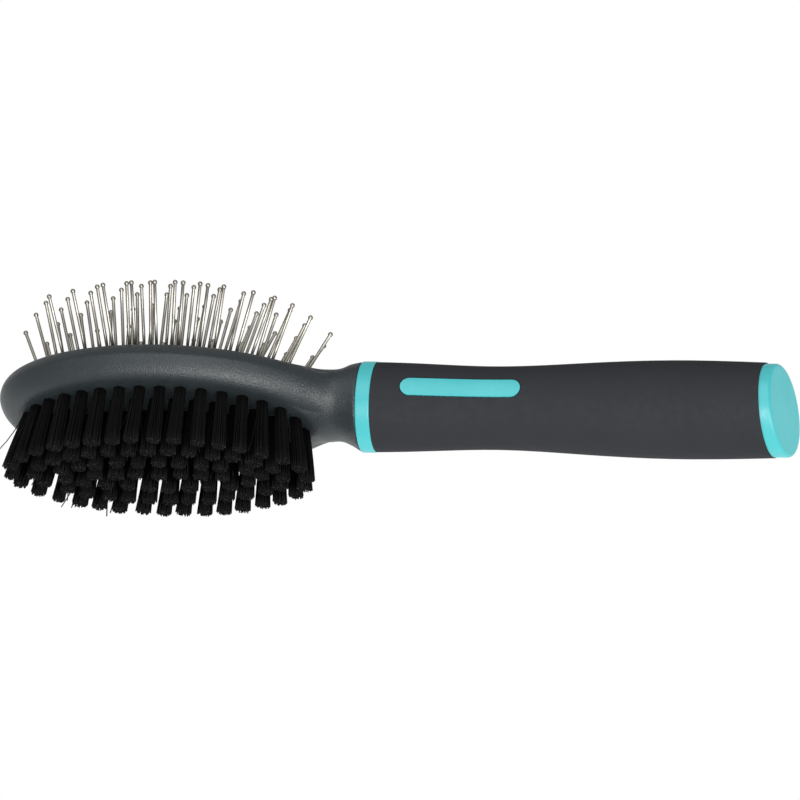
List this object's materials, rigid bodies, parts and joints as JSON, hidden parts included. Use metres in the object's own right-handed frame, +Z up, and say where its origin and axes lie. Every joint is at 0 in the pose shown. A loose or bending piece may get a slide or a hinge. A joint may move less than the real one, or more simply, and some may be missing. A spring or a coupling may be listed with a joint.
{
  "type": "double-sided pet grooming brush",
  "caption": "Hand brush with ball-tip steel pins on a rubber air cushion on one side, nylon tufts on the other, and a waisted soft grip.",
  "frame": {"origin": "on the plane of the tufts' cut ends, under the middle of the brush's length and width", "axes": "+X along the handle towards its end cap, +Z up out of the pin side, +Y completes the frame"},
  "size_m": [0.2212, 0.0598, 0.055],
  "materials": {
    "slate_plastic": "satin moulded, fine speckle",
    "pad_rubber": "smooth matte rubber",
    "turquoise_plastic": "semi-gloss moulded",
    "soft_grip": "soft-touch matte",
    "pin_steel": "polished wire",
    "black_nylon": "satin filament",
    "anchor_steel": "plain wire"
  },
  "bodies": {
    "brush": {"collar_ring": "turquoise_plastic", "cushion_pad": "pad_rubber", "end_cap": "turquoise_plastic", "grip_inlay": "turquoise_plastic", "grip_sleeve": "soft_grip", "handle_core": "turquoise_plastic", "head_frame": "slate_plastic", "tuft_anchors": "anchor_steel", "tufts_centre_row": "black_nylon", "tufts_inner_ring": "black_nylon", "tufts_middle_ring": "black_nylon", "tufts_outer_ring": "black_nylon"},
    "pin_field": {"pins_row_1": "pin_steel", "pins_row_2": "pin_steel", "pins_row_3": "pin_steel", "pins_row_4": "pin_steel", "pins_row_5": "pin_steel", "pins_row_6": "pin_steel", "pins_row_7": "pin_steel", "pins_row_8": "pin_steel", "pins_row_9": "pin_steel"}
  },
  "joints": [
    {"name": "cushion_give", "type": "slide", "parent": "brush", "child": "pin_field", "axis": [0, 0, -1], "range_m": [0, 0.0025], "stiffness_N_per_m": 4000, "springref_m": -0.0005, "deforming": ["cushion_pad"]}
  ]
}
